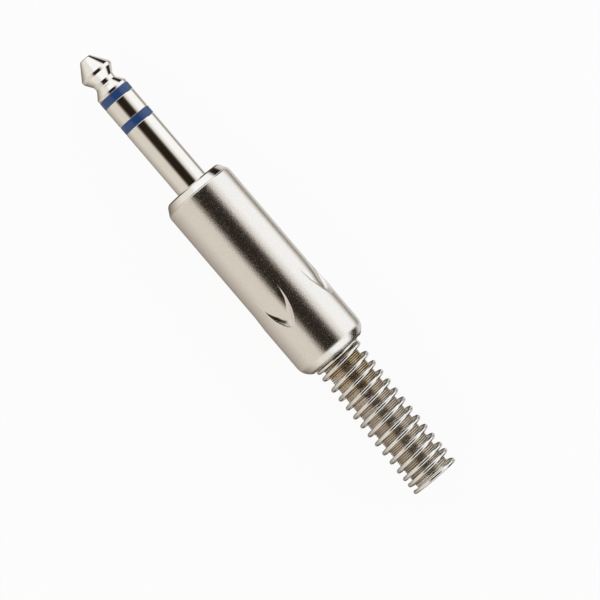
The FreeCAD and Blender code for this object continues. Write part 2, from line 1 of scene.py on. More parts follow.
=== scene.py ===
"""Looks of a 6.35 mm stereo jack plug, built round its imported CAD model.

X runs along the plug's axis towards the tip, Z is up, and the origin is in the flange's front face.
Sizes are in millimetres where a name ends in no unit, and a mesh is made in metres.
"""

import math

import bmesh
import bpy
import numpy as np
from mathutils import Matrix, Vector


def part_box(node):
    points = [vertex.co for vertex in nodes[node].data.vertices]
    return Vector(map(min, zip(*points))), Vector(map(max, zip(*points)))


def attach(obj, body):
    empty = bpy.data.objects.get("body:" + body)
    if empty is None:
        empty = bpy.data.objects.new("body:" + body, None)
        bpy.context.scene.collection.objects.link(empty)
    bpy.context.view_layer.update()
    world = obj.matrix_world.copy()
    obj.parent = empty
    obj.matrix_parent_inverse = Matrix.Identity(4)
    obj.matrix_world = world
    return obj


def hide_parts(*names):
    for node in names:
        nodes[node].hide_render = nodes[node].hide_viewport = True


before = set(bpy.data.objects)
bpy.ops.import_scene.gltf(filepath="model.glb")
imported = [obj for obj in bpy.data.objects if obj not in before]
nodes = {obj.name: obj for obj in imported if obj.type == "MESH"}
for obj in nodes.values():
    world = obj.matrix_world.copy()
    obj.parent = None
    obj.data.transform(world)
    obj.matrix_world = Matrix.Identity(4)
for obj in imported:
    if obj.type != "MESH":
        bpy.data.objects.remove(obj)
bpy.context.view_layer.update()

MM = 0.001


# Sleeve body. One turning in brass, plated with polished nickel: the sleeve contact, the flange that a
# socket's face stops, and the threaded spigot that the barrel screws on to. Its edges are broken by hand.

SLEEVE_FRONT = 14.38
FINGER_RADIUS = 3.175
SLEEVE_BORE = 2.28
FLANGE_RADIUS = 6.69
FLANGE_FACE_RADIUS = 5.1
FLANGE_ROUNDING = 60
CONE_FRONT_X = -0.5
CONE_FRONT_RADIUS = 6.08
FLANGE_REAR = -1.56
THREAD_RADIUS = 5.5
THREAD_RELIEF_RADIUS = 5.0
THREAD_RELIEF_REAR = -2.36
THREAD_PITCH = 1.0
THREAD_DEPTH = 0.54
THREAD_LEAD_IN = 0.4
SPIGOT_REAR = -7.56
BOSS_REAR = -8.06
BOSS_RADIUS = 3.0
STAKED_RADIUS = 3.45
STAKED_LAND = 0.2
STAKED_REAR = -8.46
CHAMFER_LENGTH = 0.24
CHAMFER_DEPTH = 0.12
BROKEN_EDGE = 0.08
FLANGE_EDGE = 0.06

NICKEL = (0.75, 0.725, 0.685)
LATHE_SIDES = 224


class Socket:
    """A node's output, with Python's own operators standing for Math nodes."""

    def __init__(self, finish, socket):
        self.finish = finish
        self.socket = socket

    def maths(self, operation, *others):
        inputs = dict(enumerate([self, *others]))
        return self.finish.node("ShaderNodeMath", {"operation": operation}, inputs)

    def __add__(self, other):
        return self.maths("ADD", other)

    __radd__ = __add__

    def __sub__(self, other):
        return self.maths("SUBTRACT", other)

    def __rsub__(self, other):
        return self.finish.node("ShaderNodeMath", {"operation": "SUBTRACT"}, {0: other, 1: self})

    def __mul__(self, other):
        return self.maths("MULTIPLY", other)

    __rmul__ = __mul__

    def __truediv__(self, other):
        return self.maths("DIVIDE", other)

    def __pow__(self, other):
        return self.maths("POWER", other)

    def between(self, low, high, low_out=0.0, high_out=1.0):
        """Eased from one value to another while this goes from low to high."""
        inputs = {"Value": self, "From Min": low, "From Max": high, "To Min": low_out, "To Max": high_out}
        settings = {"interpolation_type": "SMOOTHSTEP"}
        return self.finish.node("ShaderNodeMapRange", settings, inputs, "Result")

    def blend(self, first, second):
        """Colour first where this is 0 and second where it is 1."""
        settings = {"data_type": "RGBA"}
        return self.finish.node("ShaderNodeMix", settings, {0: self, 6: first, 7: second}, 2)


class Finish:
    """A material, or the world's look, as nodes that one method makes."""

    def __init__(self, name, owner=None):
        self.owner = owner or bpy.data.materials.new(name)
        self.owner.use_nodes = True
        self.tree = self.owner.node_tree
        self.tree.nodes.clear()

    def node(self, kind, settings=None, inputs=None, output=0):
        node = self.tree.nodes.new(kind)
        for key, value in (settings or {}).items():
            if key == "stops":
                ramp = node.color_ramp.elements
                for element, (place, colour) in ((ramp[0], value[0]), (ramp[1], value[-1])):
                    element.position, element.color = place, colour
                for place, colour in value[1:-1]:
                    ramp.new(place).color = colour
            else:
                setattr(node, key, value)
        for key, value in (inputs or {}).items():
            if isinstance(value, Socket):
                self.tree.links.new(value.socket, node.inputs[key])
                continue
            if node.inputs[key].type == "RGBA" and len(value) == 3:
                value = (*value, 1)
            node.inputs[key].default_value = value
        return Socket(self, node.outputs[output])

    def place(self):
        """Object coordinates, which stay with the piece."""
        return self.node("ShaderNodeTexCoord", output="Object")

    def along(self, axis):
        """One coordinate of the place, in millimetres."""
        return self.node("ShaderNodeSeparateXYZ", inputs={0: self.place()}, output="XYZ".index(axis)) * 1000

    def noise(self, grain_mm, stretch=(1, 1, 1), detail=2.0, roughness=0.5):
        """Noise from 0 to 1 with features about this many millimetres wide, times the stretch."""
        scale = tuple(1 / (grain_mm * MM * share) for share in stretch)
        place = self.node("ShaderNodeMapping", inputs={"Vector": self.place(), "Scale": scale})
        inputs = {"Vector": place, "Scale": 1.0, "Detail": detail, "Roughness": roughness}
        return self.node("ShaderNodeTexNoise", inputs=inputs)

    def bump(self, height, depth_mm, strength=1.0):
        inputs = {"Height": height, "Distance": depth_mm * MM, "Strength": strength}
        return self.node("ShaderNodeBump", inputs=inputs)

    def surface(self, **sockets):
        """The finished surface. Sockets are named as Blender names them, with _ for a blank."""
        inputs = {key.replace("_", " "): value for key, value in sockets.items()}
        shader = self.node("ShaderNodeBsdfPrincipled", inputs=inputs)
        self.node_output(shader)
        return self.owner

    def node_output(self, shader, kind="ShaderNodeOutputMaterial"):
        output = self.tree.nodes.new(kind)
        self.tree.links.new(shader.socket, output.inputs["Surface"])


def polished_nickel():
    finish = Finish("polished_nickel")
    smudge = finish.noise(2.6, detail=3).between(0.35, 0.75)
    turning = finish.noise(0.035, stretch=(1, 40, 40), detail=1)
    hairlines = finish.noise(0.08, stretch=(30, 1, 1), detail=1)
    return finish.surface(
        Base_Color=smudge.blend(NICKEL, tuple(0.965 * part for part in NICKEL)),
        Metallic=1.0,
        Roughness=0.06 + smudge * 0.05 + turning * 0.03,
        Normal=finish.bump(turning * 0.7 + hairlines * 0.3, 0.0012, 0.35),
    )


POLISHED_NICKEL = polished_nickel()


def bow(start, end, turn, steps=16):
    """Points of an arc from start to end, both left out, that turns left by so many degrees."""
    start, end = np.array(start, float), np.array(end, float)
    half = math.radians(turn) / 2
    way = end - start
    middle = (start + end) / 2
    centre = middle + np.array((-way[1], way[0])) / 2 / math.tan(half)
    angles = np.linspace(0, 2 * half, steps + 2)[1:-1]
    spoke = start - centre
    return [
        (
            centre[0] + spoke[0] * math.cos(angle) - spoke[1] * math.sin(angle),
            centre[1] + spoke[0] * math.sin(angle) + spoke[1] * math.cos(angle),
        )
        for angle in angles
    ]


def eased(outline, closed=True, steps=4):
    """An outline whose points (x, r, radius) with a third value are rounded off by that radius."""
    points = []
    count = len(outline)
    for index, point in enumerate(outline):
        if len(point) == 2 or (not closed and index in (0, count - 1)):
            points.append(point[:2])
            continue
        here = np.array(point[:2], float)
        before = np.array(outline[index - 1][:2], float) - here
        after = np.array(outline[(index + 1) % count][:2], float) - here
        before /= np.linalg.norm(before)
        after /= np.linalg.norm(after)
        half = math.acos(max(-1.0, min(1.0, float(before @ after)))) / 2
        reach = point[2] / math.tan(half)
        centre = here + (before + after) / np.linalg.norm(before + after) * (point[2] / math.sin(half))
        first, last = here + before * reach - centre, here + after * reach - centre
        for share in np.linspace(0, 1, steps + 1):
            spoke = first * (1 - share) + last * share
            points.append(tuple(centre + spoke / np.linalg.norm(spoke) * point[2]))
    return points


def piece_from(name, points, faces, material, crease=30):
    """A shaded mesh object from points in millimetres."""
    mesh = bpy.data.meshes.new(name)
    mesh.from_pydata((np.asarray(points) * MM).tolist(), [], faces)
    shell = bmesh.new()
    shell.from_mesh(mesh)
    bmesh.ops.remove_doubles(shell, verts=shell.verts, dist=1e-8)
    bmesh.ops.recalc_face_normals(shell, faces=shell.faces)
    shell.to_mesh(mesh)
    shell.free()
    mesh.shade_smooth()
    mesh.set_sharp_from_angle(angle=math.radians(crease))
    mesh.materials.append(material)
    piece = bpy.data.objects.new(name, mesh)
    bpy.context.scene.collection.objects.link(piece)
    return piece


def grid_faces(rows, columns, rows_close):
    """Quads of a grid whose columns close on themselves, and whose rows do too where they should."""
    faces = []
    for row in range(rows if rows_close else rows - 1):
        following = (row + 1) % rows
        for column in range(columns):
            beside = (column + 1) % columns
            faces.append((
                row * columns + column,
                row * columns + beside,
                following * columns + beside,
                following * columns + column,
            ))
    return faces


def turned(name, outline, material, sides=LATHE_SIDES, crease=30):
    """A piece turned on the axis. An outline that starts and ends on the axis closes there."""
    outline = np.array(outline, float)
    solid = outline[0, 1] == 0 and outline[-1, 1] == 0
    angles = np.arange(sides) * 2 * math.pi / sides
    rings = outline[1:-1] if solid else outline
    points = np.empty((len(rings), sides, 3))
    points[:, :, 0] = rings[:, :1]
    points[:, :, 1] = rings[:, 1:] * np.sin(angles)
    points[:, :, 2] = rings[:, 1:] * np.cos(angles)
    points = points.reshape(-1, 3)
    faces = grid_faces(len(rings), sides, not solid)
    if solid:
        first, last = len(points), len(points) + 1
        points = np.vstack([points, [(outline[0, 0], 0, 0), (outline[-1, 0], 0, 0)]])
        start = (len(rings) - 1) * sides
        for column in range(sides):
            beside = (column + 1) % sides
            faces.append((first, beside, column))
            faces.append((last, start + column, start + beside))
    return piece_from(name, points, faces, material, crease)


def thread_profile(share):
    """The height of a 60 degree thread, from root 0 to crest 1, over one pitch from 0 to 1."""
    away = np.abs((share + 0.5) % 1 - 0.5) * 2
    return np.clip((0.875 - away) / 0.7, 0, 1)


def threaded(name, outline, material, start, end, crest, depth, sides=128, step=0.05):
    """A turned piece whose outline runs, from start to end, along a right-hand thread."""
    outline = [np.array(point, float) for point in outline]
    rows = []
    for index, point in enumerate(outline):
        rows.append(point)
        following = outline[(index + 1) % len(outline)]
        if abs(point[0] - start) < 1e-6 and abs(following[0] - end) < 1e-6:
            count = int(abs(end - start) / step)
            rows += [np.array((start + (end - start) * part / count, crest)) for part in range(1, count)]
    rows = np.array(rows)
    angles = np.arange(sides) * 2 * math.pi / sides
    points = np.empty((len(rows), sides, 3))
    radii = np.repeat(rows[:, 1:], sides, axis=1)
    low, high = sorted((start, end))
    inside = (rows[:, 0] > low + 1e-6) & (rows[:, 0] < high - 1e-6) & (np.abs(rows[:, 1] - crest) < 1e-6)
    share = (rows[:, :1] + THREAD_PITCH * angles / (2 * math.pi)) / THREAD_PITCH
    fade = np.clip(np.minimum(rows[:, :1] - low, high - rows[:, :1]) / 0.35, 0, 1)
    cut = (1 - thread_profile(share)) * depth * fade
    radii[inside] -= cut[inside]
    points[:, :, 0] = rows[:, :1]
    points[:, :, 1] = radii * np.sin(angles)
    points[:, :, 2] = radii * np.cos(angles)
    return piece_from(name, points.reshape(-1, 3), grid_faces(len(rows), sides, True), material, 40)


flange_face = (0, FLANGE_FACE_RADIUS)
flange_cone = (CONE_FRONT_X, CONE_FRONT_RADIUS)
sleeve_outline = eased([
    (SLEEVE_FRONT, SLEEVE_BORE),
    (SLEEVE_FRONT, FINGER_RADIUS - CHAMFER_DEPTH),
    (SLEEVE_FRONT - CHAMFER_LENGTH, FINGER_RADIUS),
    (0.0, FINGER_RADIUS, BROKEN_EDGE),
    flange_face,
    *bow(flange_face, flange_cone, FLANGE_ROUNDING, 14),
    flange_cone,
    (FLANGE_REAR, FLANGE_RADIUS, FLANGE_EDGE),
    (FLANGE_REAR, THREAD_RELIEF_RADIUS),
    (THREAD_RELIEF_REAR, THREAD_RELIEF_RADIUS),
    (THREAD_RELIEF_REAR, THREAD_RADIUS),
    (SPIGOT_REAR + THREAD_LEAD_IN, THREAD_RADIUS),
    (SPIGOT_REAR, THREAD_RADIUS - THREAD_LEAD_IN),
    (SPIGOT_REAR, BOSS_RADIUS),
    (BOSS_REAR, BOSS_RADIUS),
    (BOSS_REAR, STAKED_RADIUS),
    (BOSS_REAR - STAKED_LAND, STAKED_RADIUS, BROKEN_EDGE),
    (STAKED_REAR, BOSS_RADIUS),
    (STAKED_REAR, SLEEVE_BORE),
])
sleeve = threaded(
    "sleeve_body_turning", sleeve_outline, POLISHED_NICKEL,
    THREAD_RELIEF_REAR, SPIGOT_REAR + THREAD_LEAD_IN, THREAD_RADIUS, THREAD_DEPTH, sides=LATHE_SIDES,
)
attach(sleeve, "finger")
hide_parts("sleeve_body")


# Ring contact. A short ring with a long tube behind it, turned and plated as the sleeve is, and peened
# over its terminal at the rear. Only the ring shows: it lies flush between the two coloured washers.

RING_FRONT = 20.09
RING_REAR = 15.92
RING_TUBE_RADIUS = 1.84
RING_TUBE_BORE = 1.34
PEEN_RIM = 0.35
PEEN_LENGTH = 0.4

ring_tube_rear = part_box("ring_contact")[0].x / MM
ring_contact = turned("ring_contact_turning", eased([
    (RING_FRONT, RING_TUBE_BORE),
    (RING_FRONT, FINGER_RADIUS - CHAMFER_DEPTH),
    (RING_FRONT - CHAMFER_LENGTH, FINGER_RADIUS),
    (RING_REAR + CHAMFER_LENGTH, FINGER_RADIUS),
    (RING_REAR, FINGER_RADIUS - CHAMFER_DEPTH),
    (RING_REAR, RING_TUBE_RADIUS),
    (ring_tube_rear + PEEN_LENGTH, RING_TUBE_RADIUS),
    (ring_tube_rear + PEEN_LENGTH, RING_TUBE_RADIUS + PEEN_RIM),
    (ring_tube_rear, RING_TUBE_RADIUS, BROKEN_EDGE),
    (ring_tube_rear, RING_TUBE_BORE),
]), POLISHED_NICKEL)
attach(ring_contact, "finger")
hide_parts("ring_contact")


# Tip contact. A turned head on a long rod: the land that meets the washer, the neck that a socket's
# spring drops into, the crest, and the cone with its blunt nose. The rod's end is peened at the rear.

# Places on the axis, with the radius there
NOSE = (29.48, 0.9)
CONE_FRONT = (29.21, 1.31)
CREST_FRONT = (26.64, 3.09)
CREST_REAR = (25.66, 3.0)
NECK_FRONT = (24.60, 2.29)
NECK_REAR = (23.28, 2.38)
LAND_FRONT = (22.20, FINGER_RADIUS)
TIP_REAR = 21.58
ROD_RADIUS = 0.9
NOSE_TURN = 64
CREST_TURN = 68
NECK_TURN = 70
CONE_EDGE = 0.25
CREST_EDGE = 0.12
NECK_EDGE = 0.2
ROD_EDGE = 0.1

rod_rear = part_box("tip_contact")[0].x / MM
tip_contact = turned("tip_contact_turning", eased([
    (NOSE[0], 0),
    NOSE,
    *bow(NOSE, CONE_FRONT, NOSE_TURN, 10),
    (*CONE_FRONT, CONE_EDGE),
    (*CREST_FRONT, CREST_EDGE),
    *bow(CREST_FRONT, CREST_REAR, CREST_TURN, 14),
    (*CREST_REAR, CREST_EDGE),
    (*NECK_FRONT, NECK_EDGE),
    *bow(NECK_REAR, NECK_FRONT, NECK_TURN, 14)[::-1],
    (*NECK_REAR, NECK_EDGE),
    (*LAND_FRONT, CONE_EDGE),
    (TIP_REAR + CHAMFER_LENGTH, FINGER_RADIUS),
    (TIP_REAR, FINGER_RADIUS - CHAMFER_DEPTH),
    (TIP_REAR, ROD_RADIUS),
    (rod_rear + PEEN_LENGTH, ROD_RADIUS),
    (rod_rear + PEEN_LENGTH, ROD_RADIUS + PEEN_RIM),
    (rod_rear + PEEN_LENGTH / 2, ROD_RADIUS + PEEN_RIM, BROKEN_EDGE),
    (rod_rear, ROD_RADIUS, ROD_EDGE),
    (rod_rear, 0),
], closed=False), POLISHED_NICKEL)
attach(tip_contact, "finger")
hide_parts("tip_contact")


# Insulating washers of the finger. Two moulded rings in mid blue, pressed between the contacts and then
# ground flush with them, so that their rims keep faint marks of the wheel.

ROD_HOLE = 0.92
RING_TUBE_HOLE = 1.86
RIM_EDGE = 0.04

WASHER_BLUE = (0.014, 0.064, 0.215)
DEEP_BLUE = (0.011, 0.052, 0.175)


def blue_plastic():
    finish = Finish("blue_plastic")
    clouds = finish.noise(0.9, detail=3)
    grinding = finish.noise(0.04, stretch=(1, 30, 30), detail=1)
    return finish.surface(
        Base_Color=clouds.between(0.3, 0.7).blend(WASHER_BLUE, DEEP_BLUE),
        Roughness=0.2 + grinding * 0.12,
        Normal=finish.bump(grinding, 0.002, 0.3),
        IOR=1.5,
    )


BLUE_PLASTIC = blue_plastic()

for node, bore in (("tip_insulating_washer", ROD_HOLE), ("ring_insulating_washer", RING_TUBE_HOLE)):
    low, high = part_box(node)
    front, rear, radius = high.x / MM, low.x / MM, high.z / MM
    washer = turned(f"{node}_rim", eased([
        (front, bore),
        (front, radius, RIM_EDGE),
        (rear, radius, RIM_EDGE),
        (rear, bore),
    ]), BLUE_PLASTIC)
    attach(washer, "finger")
    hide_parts(node)


# Insulating tubes. Two lengths of plain nylon tube, slipped over the rod and over the ring's tube before
# the stack is pressed together. Only their rear ends can be seen, through the strain relief.

ROD_TUBE_RADIUS = 1.32
RING_TUBE_COVER = 2.26
CUT_EDGE = 0.05

NYLON = (0.80, 0.78, 0.71)


def white_nylon():
    finish = Finish("white_nylon")
    clouds = finish.noise(1.5, detail=2)
    drawn = finish.noise(0.1, stretch=(40, 1, 1), detail=1)
    return finish.surface(
        Base_Color=clouds.blend(NYLON, tuple(0.93 * part for part in NYLON)),
        Roughness=0.42 + drawn * 0.1,
        Normal=finish.bump(drawn, 0.002, 0.4),
        Subsurface_Weight=0.15,
        Subsurface_Scale=0.0006,
    )


WHITE_NYLON = white_nylon()

for node, bore, radius in (
    ("tip_insulating_tube", ROD_HOLE, ROD_TUBE_RADIUS),
    ("ring_insulating_tube", RING_TUBE_HOLE, RING_TUBE_COVER),
):
    low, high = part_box(node)
    front, rear = high.x / MM, low.x / MM
    tube = turned(f"{node}_wall", eased([
        (front, bore),
        (front, radius),
        (rear, radius, CUT_EDGE),
        (rear, bore, CUT_EDGE),
    ]), WHITE_NYLON, sides=96)
    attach(tube, "finger")
    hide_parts(node)


# Fibre washers. Rings punched from hard red-brown fibre sheet, which keep the three terminals apart.
# Their cut rims are rougher and paler than their pressed faces.

PUNCHED_EDGE = 0.06
TORN_EDGE = 0.1

FIBRE = (0.26, 0.085, 0.045)
FIBRE_EDGE = (0.36, 0.16, 0.09)


def hard_fibre():
    finish = Finish("hard_fibre")
    fibres = finish.noise(0.12, stretch=(1, 6, 2), detail=4, roughness=0.6)
    layers = finish.noise(0.03, stretch=(1, 40, 40), detail=1)
    return finish.surface(
        Base_Color=(fibres * 0.6 + layers * 0.4).between(0.35, 0.7).blend(FIBRE, FIBRE_EDGE),
        Roughness=0.62 + fibres * 0.2,
        Normal=finish.bump(fibres * 0.5 + layers * 0.5, 0.008, 0.6),
    )


HARD_FIBRE = hard_fibre()

for node, bore in (("ground_fibre_washer", SLEEVE_BORE), ("terminal_fibre_washer", RING_TUBE_BORE)):
    low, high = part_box(node)
    front, rear, radius = high.x / MM, low.x / MM, high.z / MM
    washer = turned(f"{node}_ring", eased([
        (front, bore),
        (front, radius, PUNCHED_EDGE),
        (rear, radius, TORN_EDGE),
        (rear, bore, PUNCHED_EDGE),
    ]), HARD_FIBRE, sides=96)
    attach(washer, "finger")
    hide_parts(node)


# Terminals. Three stampings in brass sheet with a dull tin plate: a round plate folded into a strip. Two
# end in a solder lug, and the long earth strip ends in a trough that is closed on the cable's jacket.

TIN = (0.66, 0.64, 0.59)
BARE_BRASS = (0.62, 0.48, 0.26)


def tinned_brass():
    finish = Finish("tinned_brass")
    crystals = finish.noise(0.5, detail=4, roughness=0.65)
    rolling = finish.noise(0.05, stretch=(30, 1, 1), detail=1)
    worn = finish.noise(1.8, detail=3).between(0.62, 0.78)
    return finish.surface(
        Base_Color=worn.blend(TIN, BARE_BRASS),
        Metallic=1.0,
        Roughness=0.3 + crystals * 0.2 - worn * 0.06,
        Normal=finish.bump(crystals * 0.6 + rolling * 0.4, 0.004, 0.5),
    )


TINNED_BRASS = tinned_brass()

for node in ("ground_terminal", "ring_terminal", "tip_terminal"):
    nodes[node].data.materials.clear()
    nodes[node].data.materials.append(TINNED_BRASS)


# Barrel. Drilled and turned from brass bar, with four pointed scoops milled into its shoulder as finger
# grips, then blasted with fine glass beads and plated with satin nickel. The exit at its rear is rounded.

BARREL_FRONT_RADIUS = 6.905
BARREL_REAR_RADIUS = 7.06
EASING_LENGTH = 0.95
EASING_DEPTH = 0.19
STEP_START = -25.06
STEP_END = -28.26
BARREL_REAR = -39.64
REAR_ROUNDING_LENGTH = 2.69
REAR_FACE_RADIUS = 5.39
EXIT_RADIUS = 5.1
REAR_WALL = -37.44
BARREL_BORE = 5.7
THREAD_END = -8.16
THREAD_BORE = 5.55

# Rows of points lie close together between these, where the scoops are
FINE_FRONT = -22.3
FINE_REAR = -32.0
FINE_STEP = 0.1

SCOOPS = 4
SCOOP_TURN = 23.5
SCOOP_HALF_TURN = 26
SCOOP_APEX = -31.06
SCOOP_FORWARD = 8.2
SCOOP_ASIDE = 5.97
SCOOP_SLOPE = 28
SCOOP_START = -22.6
SCOOP_FLOOR = 6.42
SCOOP_DEEPEST = -28.86
SCOOP_LINE = [
    # Places and radii of a scoop's floor, from behind its point to its start
    (SCOOP_APEX - 1.2, 7.6),
    (SCOOP_APEX, BARREL_REAR_RADIUS + 0.02),
    (SCOOP_DEEPEST - 0.5, SCOOP_FLOOR + 0.05),
    (SCOOP_DEEPEST + 1.0, SCOOP_FLOOR + 0.02),
    (-25.9, 6.77),
    (SCOOP_START, 6.93),
]
LIP_ROUNDING = 0.07
FLOOR_ROUNDING = 0.25
# The scoops keep some of their cutter's shine: inside this radius and in front of this place
MILLED_RADIUS = 6.88
MILLED_REAR = -32.26
MILLED_SHINE = 0.7

SATIN = (0.73, 0.70, 0.66)


def satin_nickel():
    finish = Finish("satin_nickel")
    grain = finish.noise(0.32, detail=2, roughness=0.6)
    specks = finish.noise(0.2, detail=1).between(0.5, 0.75)
    clouds = finish.noise(3.5, detail=2)
    from_axis = (finish.along("Y") ** 2 + finish.along("Z") ** 2) ** 0.5
    milled = from_axis.between(MILLED_RADIUS - 0.08, MILLED_RADIUS, 1, 0)
    milled = milled * finish.along("X").between(MILLED_REAR, MILLED_REAR + 1) * MILLED_SHINE
    blasted = 1 - milled
    return finish.surface(
        Base_Color=grain.between(0.3, 0.7).blend(tuple(0.95 * part for part in SATIN), SATIN),
        Metallic=1.0,
        Roughness=0.07 + (0.1 + specks * 0.15 + clouds * 0.02) * blasted,
        Normal=finish.bump(grain * blasted, 0.018, 1.0),
    )


SATIN_NICKEL = satin_nickel()


def soft_least(first, second, rounding):
    """The smaller of two, with the corner where they cross rounded off."""
    near = np.clip(0.5 + (second - first) / (2 * rounding), 0, 1)
    return second * (1 - near) + first * near - rounding * near * (1 - near)


def shoulder_radius(x):
    """The barrel's outside along its straight part: it swells a little between the scoops."""
    share = np.clip((STEP_START - x) / (STEP_START - STEP_END), 0, 1)
    return BARREL_FRONT_RADIUS + (BARREL_REAR_RADIUS - BARREL_FRONT_RADIUS) * share


def scoop_floor(x):
    """How far from the axis a scoop's floor lies: down in front, level, then up to the point."""
    return np.interp(x, *zip(*SCOOP_LINE))


def scooped_radius(x, angle):
    """The barrel's surface at a place, at an angle from a scoop's middle."""
    slope = math.tan(math.radians(SCOOP_SLOPE))
    arch = math.hypot(SCOOP_FORWARD, SCOOP_ASIDE)
    outside = shoulder_radius(x)
    radius = outside.copy()
    for _ in range(8):
        beside = np.abs(radius * np.sin(angle)) + SCOOP_ASIDE
        spread = np.hypot(x - SCOOP_APEX - SCOOP_FORWARD, beside)
        radius = (BARREL_REAR_RADIUS + (spread - arch) * slope) / np.cos(angle)
    cut = -soft_least(-radius, -scoop_floor(x), FLOOR_ROUNDING)
    return soft_least(outside, cut, LIP_ROUNDING)


def barrel_angles():
    """Angles round the barrel, close together at the scoops and wide apart between them."""
    angles = []
    for scoop in range(SCOOPS):
        middle = SCOOP_TURN + 360 / SCOOPS * scoop
        angles += list(middle + np.arange(-SCOOP_HALF_TURN, SCOOP_HALF_TURN, 0.5))
        angles += list(middle + np.linspace(SCOOP_HALF_TURN, 360 / SCOOPS - SCOOP_HALF_TURN, 13)[:-1])
    return np.radians(angles)


def barrel_rows():
    """The barrel's closed outline, with many places along the shoulder where the scoops are."""
    rear_round_end = (BARREL_REAR + REAR_ROUNDING_LENGTH, BARREL_REAR_RADIUS)
    rear_edge = (BARREL_REAR, REAR_FACE_RADIUS)
    turn = 2 * math.degrees(math.atan2(BARREL_REAR_RADIUS - REAR_FACE_RADIUS, REAR_ROUNDING_LENGTH))
    front_edge = (FLANGE_REAR, BARREL_FRONT_RADIUS - EASING_DEPTH)
    easing_end = (FLANGE_REAR - EASING_LENGTH, BARREL_FRONT_RADIUS)
    easing = 2 * math.degrees(math.atan2(EASING_DEPTH, EASING_LENGTH))
    rows = [(FLANGE_REAR, THREAD_BORE + 0.1), (FLANGE_REAR, front_edge[1] - 0.04)]
    rows += [(FLANGE_REAR - 0.03, front_edge[1]), *bow(front_edge, easing_end, easing, 8), easing_end]
    rows += [(x, BARREL_FRONT_RADIUS) for x in np.linspace(FLANGE_REAR - 1.5, FINE_FRONT + FINE_STEP, 12)]
    rows += [(x, float(shoulder_radius(x))) for x in np.arange(FINE_FRONT, FINE_REAR, -FINE_STEP)]
    rows += [(x, BARREL_REAR_RADIUS) for x in np.linspace(FINE_REAR - 0.4, rear_round_end[0] + 0.3, 6)]
    rows += [rear_round_end, *bow(rear_round_end, rear_edge, turn, 22), rear_edge]
    rows += [(BARREL_REAR + 0.04, EXIT_RADIUS + 0.04), (BARREL_REAR + 0.12, EXIT_RADIUS)]
    rows += [(REAR_WALL, EXIT_RADIUS), (REAR_WALL, BARREL_BORE), (THREAD_END, BARREL_BORE)]
    rows += [(THREAD_END, THREAD_BORE), (FLANGE_REAR - 0.1, THREAD_BORE)]
    return np.array(rows, float)


rows = barrel_rows()
angles = barrel_angles()
places = np.repeat(rows[:, :1], len(angles), axis=1)
radii = np.repeat(rows[:, 1:], len(angles), axis=1)
half_share = math.pi / SCOOPS
from_scoop = (angles - math.radians(SCOOP_TURN) + half_share) % (2 * half_share) - half_share
shoulder = (rows[:, 0] < FINE_FRONT + FINE_STEP / 2) & (rows[:, 0] > FINE_REAR - FINE_STEP)
shoulder &= rows[:, 1] > BARREL_BORE + 0.5
radii[shoulder] = scooped_radius(places[shoulder], np.tile(from_scoop, (int(shoulder.sum()), 1)))
points = np.stack([places, radii * np.sin(angles), radii * np.cos(angles)], axis=2).reshape(-1, 3)
barrel_faces = grid_faces(len(rows), len(angles), True)
barrel = piece_from("barrel_shell", points, barrel_faces, SATIN_NICKEL, 50)
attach(barrel, "shell")
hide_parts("barrel")


# Liner. A thin milky tube pushed into the barrel, which keeps the solder joints off the metal. It is held
# between the spigot's end and the springs' collar.

LINER_RADIUS = 5.55
LINER_BORE = 5.15
MILKY = (0.76, 0.76, 0.73)


def liner_plastic():
    finish = Finish("liner_plastic")
    clouds = finish.noise(2.0, detail=2)
    return finish.surface(
        Base_Color=clouds.blend(MILKY, tuple(0.95 * part for part in MILKY)),
        Roughness=0.38 + clouds * 0.1,
        Normal=finish.bump(finish.noise(0.1, stretch=(40, 1, 1), detail=1), 0.002, 0.3),
    )


LINER_PLASTIC = liner_plastic()
low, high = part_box("insulating_liner")
liner = turned("insulating_liner_wall", eased([
    (high.x / MM, LINER_BORE, CUT_EDGE),
    (high.x / MM, LINER_RADIUS, CUT_EDGE),
    (low.x / MM, LINER_RADIUS, CUT_EDGE),
    (low.x / MM, LINER_BORE, CUT_EDGE),
]), LINER_PLASTIC, sides=128)
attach(liner, "strain_relief")
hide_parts("insulating_liner")


# Outer spring. Bright nickel-plated steel wire, coiled right-handed: a wide dead turn that the barrel's
# rear wall holds, open turns that let the cable bend, and a tail whose turns close up and end flat.

WIRE = 0.76
SPRING_RADIUS = 4.775
FLARE_RADIUS = 5.5
SPRING_SHIFT = 0.12
LEAN_SIDE = 1.5
LEAN_DOWN = 0.5
FRONT_TILT = 1.8
TILT_LENGTH = 16
DEAD_TURN = -37.03
EXIT_TURN = -39.9
TOP_OF_COIL = -90
COIL_RADIUS = SPRING_RADIUS - WIRE / 2
COIL_STAGES = [
    # Turns, way backwards, and the coil's radius at the stage's end
    (0.7, 0.0, FLARE_RADIUS - WIRE / 2),
    (0.15, 0.0, COIL_RADIUS),
    (0.85, DEAD_TURN - EXIT_TURN, COIL_RADIUS),
    (0.5, 0.04, COIL_RADIUS),
    (1.0, 1.55, COIL_RADIUS),
    (0.5, 1.51, COIL_RADIUS),
    (10.0, 20.7, COIL_RADIUS),
    (1.5, 2.1, COIL_RADIUS),
    (0.5, 1.55, COIL_RADIUS),
    (0.5, 0.0, COIL_RADIUS),
]
# The coil's turn is counted from half a turn past these stages, where the wire has left the barrel
FRONT_STAGES = 4
WIRE_STEEL = (0.72, 0.70, 0.665)


def spring_wire():
    finish = Finish("spring_wire")
    drawn = finish.noise(0.12, stretch=(1, 3, 3), detail=2)
    dull = finish.noise(1.6, detail=2).between(0.45, 0.75)
    return finish.surface(
        Base_Color=dull.blend(WIRE_STEEL, tuple(0.9 * part for part in WIRE_STEEL)),
        Metallic=1.0,
        Roughness=0.10 + dull * 0.07 + drawn * 0.06,
        Normal=finish.bump(drawn, 0.003, 0.4),
    )


SPRING_WIRE = spring_wire()


